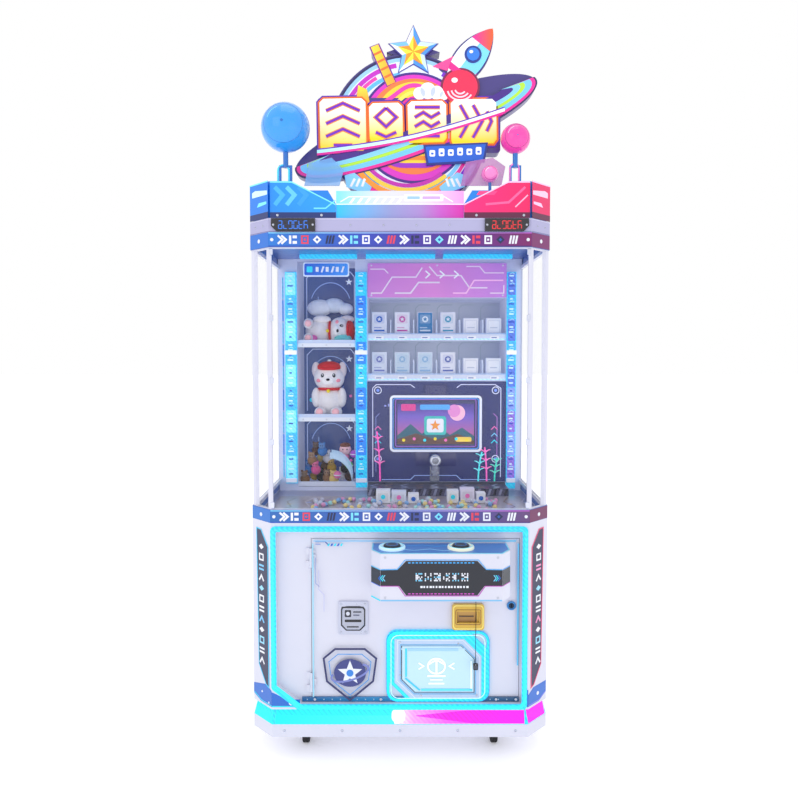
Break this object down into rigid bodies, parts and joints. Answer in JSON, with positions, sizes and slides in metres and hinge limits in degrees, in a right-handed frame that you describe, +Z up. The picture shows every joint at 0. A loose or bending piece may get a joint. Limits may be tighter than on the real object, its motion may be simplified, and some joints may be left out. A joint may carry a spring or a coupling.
{
  "type": "coin pusher machine",
  "caption": "Wheeled arcade cabinet with a glazed bay holding a sliding pusher and prize shelves, a hinged service door with buttons and a prize flap, and a lit sign on the roof.",
  "frame": {"origin": "on the floor, at the middle of the whole object's box in X and Y", "axes": "+X to the right seen from the front, +Y to the back, +Z up"},
  "size_m": [0.936, 0.97, 2.31],
  "materials": {
    "cabinet_white": "satin white powder coat",
    "liner_white": "satin pale grey-green paint",
    "cyan_light": "lit milky diffuser",
    "caster_metal": "black zinc",
    "caster_tyre": "matte",
    "bright_steel": "brushed",
    "motor_grey": "grey hammer paint",
    "bezel_pale": "translucent pale cyan",
    "button_black": "gloss black",
    "coin_plate_silver": "satin chrome",
    "mech_black": "matte black",
    "ticket_yellow": "satin yellow",
    "frame_lavender": "matte lavender grey",
    "flap_acrylic": "clear tinted acrylic",
    "cord_black": "matte black",
    "deck_grey": "satin grey",
    "band_blue": "printed gloss band",
    "clear_glass": "clear",
    "header_grey": "satin lavender grey",
    "display_black": "smoked window",
    "crown_blue": "printed gloss panel",
    "crown_grey": "printed gloss panel",
    "shelf_white": "gloss white",
    "shelf_clear": "frosted acrylic",
    "panel_navy": "printed gloss navy",
    "screen_glass": "lit display",
    "launcher_steel": "polished",
    "pusher_steel": "brushed dark",
    "sign_dark": "layered printed acrylic",
    "globe_blue": "gloss blue",
    "plush_white": "short pile",
    "box_card": "printed card"
  },
  "bodies": {
    "cabinet": {"plinth": "cabinet_white", "base_light_band": "cyan_light", "caster_plates": "caster_metal", "lower_cabinet": "cabinet_white", "led_ring": "cyan_light", "recess_panel": "cabinet_white", "hinge_pins": "bright_steel", "prize_chute": "bright_steel", "deck": "deck_grey", "waist_band": "band_blue", "upper_frame": "cabinet_white", "front_glass": "clear_glass", "side_glass": "clear_glass", "head_band": "band_blue", "header": "header_grey", "header_displays": "display_black", "crown_wings": "crown_blue", "crown_centre": "crown_grey", "light_bars": "cyan_light", "bay_liner": "liner_white", "shelves_left": "shelf_clear", "shelves_right": "shelf_white", "game_panel": "panel_navy", "screen": "screen_glass", "launcher_base": "launcher_steel", "gear_motor": "motor_grey", "sign_case": "sign_dark", "globes": "globe_blue", "plush_toys": "plush_white", "prize_boxes": "box_card", "electrics": "motor_grey"},
    "front_door": {"service_door": "cabinet_white", "control_box": "cabinet_white", "button_bezels": "bezel_pale", "coin_plate": "coin_plate_silver", "coin_mech": "mech_black", "ticket_bezel": "ticket_yellow", "ticket_dispenser": "mech_black", "prize_frame": "frame_lavender", "prize_light_ring": "cyan_light", "door_lock": "coin_plate_silver", "hang_cord": "cord_black", "cord_tag": "cord_black"},
    "flap": {"prize_flap": "flap_acrylic"},
    "button_left": {"button_left": "button_black"},
    "button_right": {"button_right": "button_black"},
    "lock_cam": {"lock_cam": "bright_steel"},
    "rear_door": {"rear_door": "cabinet_white"},
    "launcher": {"launcher_turret": "launcher_steel"},
    "pusher": {"pusher": "pusher_steel", "push_rod": "bright_steel"},
    "crank": {"crank_disc": "bright_steel"},
    "fork_front_left": {"caster_fork_front_left": "caster_metal"},
    "wheel_front_left": {"caster_wheel_front_left": "caster_tyre"},
    "fork_front_right": {"caster_fork_front_right": "caster_metal"},
    "wheel_front_right": {"caster_wheel_front_right": "caster_tyre"},
    "fork_rear_left": {"caster_fork_rear_left": "caster_metal"},
    "wheel_rear_left": {"caster_wheel_rear_left": "caster_tyre"},
    "fork_rear_right": {"caster_fork_rear_right": "caster_metal"},
    "wheel_rear_right": {"caster_wheel_rear_right": "caster_tyre"}
  },
  "joints": [
    {"name": "front_door_hinge", "type": "hinge", "parent": "cabinet", "child": "front_door", "pos_m": [-0.277, -0.371, 0.185], "axis": [0, 0, -1], "range_deg": [0, 110]},
    {"name": "prize_flap_hinge", "type": "hinge", "parent": "front_door", "child": "flap", "pos_m": [0.1025, -0.369, 0.3495], "axis": [1, 0, 0], "range_deg": [0, 60]},
    {"name": "lock_turn", "type": "hinge", "parent": "front_door", "child": "lock_cam", "pos_m": [0.347, -0.335, 0.487], "axis": [0, -1, 0], "range_deg": [0, 90]},
    {"name": "rear_door_hinge", "type": "hinge", "parent": "cabinet", "child": "rear_door", "pos_m": [-0.25, 0.48, 0.227], "axis": [0, 0, 1], "range_deg": [0, 110]},
    {"name": "launcher_turn", "type": "hinge", "parent": "cabinet", "child": "launcher", "pos_m": [0.132, 0.1, 0.872], "axis": [0, 0, 1], "range_deg": [-30, 30]},
    {"name": "pusher_slide", "type": "slide", "parent": "cabinet", "child": "pusher", "axis": [0, -1, 0], "range_m": [0, 0.07]},
    {"name": "crank_turn", "type": "hinge", "parent": "cabinet", "child": "crank", "pos_m": [0.14, 0.399, 0.749], "axis": [0, 0, 1], "continuous": true},
    {"name": "button_left_press", "type": "slide", "parent": "front_door", "child": "button_left", "axis": [0, 0, -1], "range_m": [0, 0.004], "stiffness_N_per_m": 400, "springref_m": -0.003},
    {"name": "button_right_press", "type": "slide", "parent": "front_door", "child": "button_right", "axis": [0, 0, -1], "range_m": [0, 0.004], "stiffness_N_per_m": 400, "springref_m": -0.003},
    {"name": "swivel_front_left", "type": "hinge", "parent": "cabinet", "child": "fork_front_left", "pos_m": [-0.306, -0.293, 0.067], "axis": [0, 0, 1], "continuous": true},
    {"name": "roll_front_left", "type": "hinge", "parent": "fork_front_left", "child": "wheel_front_left", "pos_m": [-0.306, -0.273, 0.03], "axis": [1, 0, 0], "continuous": true},
    {"name": "swivel_front_right", "type": "hinge", "parent": "cabinet", "child": "fork_front_right", "pos_m": [0.306, -0.293, 0.067], "axis": [0, 0, 1], "continuous": true},
    {"name": "roll_front_right", "type": "hinge", "parent": "fork_front_right", "child": "wheel_front_right", "pos_m": [0.306, -0.273, 0.03], "axis": [1, 0, 0], "continuous": true},
    {"name": "swivel_rear_left", "type": "hinge", "parent": "cabinet", "child": "fork_rear_left", "pos_m": [-0.306, 0.363, 0.067], "axis": [0, 0, 1], "continuous": true},
    {"name": "roll_rear_left", "type": "hinge", "parent": "fork_rear_left", "child": "wheel_rear_left", "pos_m": [-0.306, 0.383, 0.03], "axis": [1, 0, 0], "continuous": true},
    {"name": "swivel_rear_right", "type": "hinge", "parent": "cabinet", "child": "fork_rear_right", "pos_m": [0.306, 0.363, 0.067], "axis": [0, 0, 1], "continuous": true},
    {"name": "roll_rear_right", "type": "hinge", "parent": "fork_rear_right", "child": "wheel_rear_right", "pos_m": [0.306, 0.383, 0.03], "axis": [1, 0, 0], "continuous": true}
  ]
}
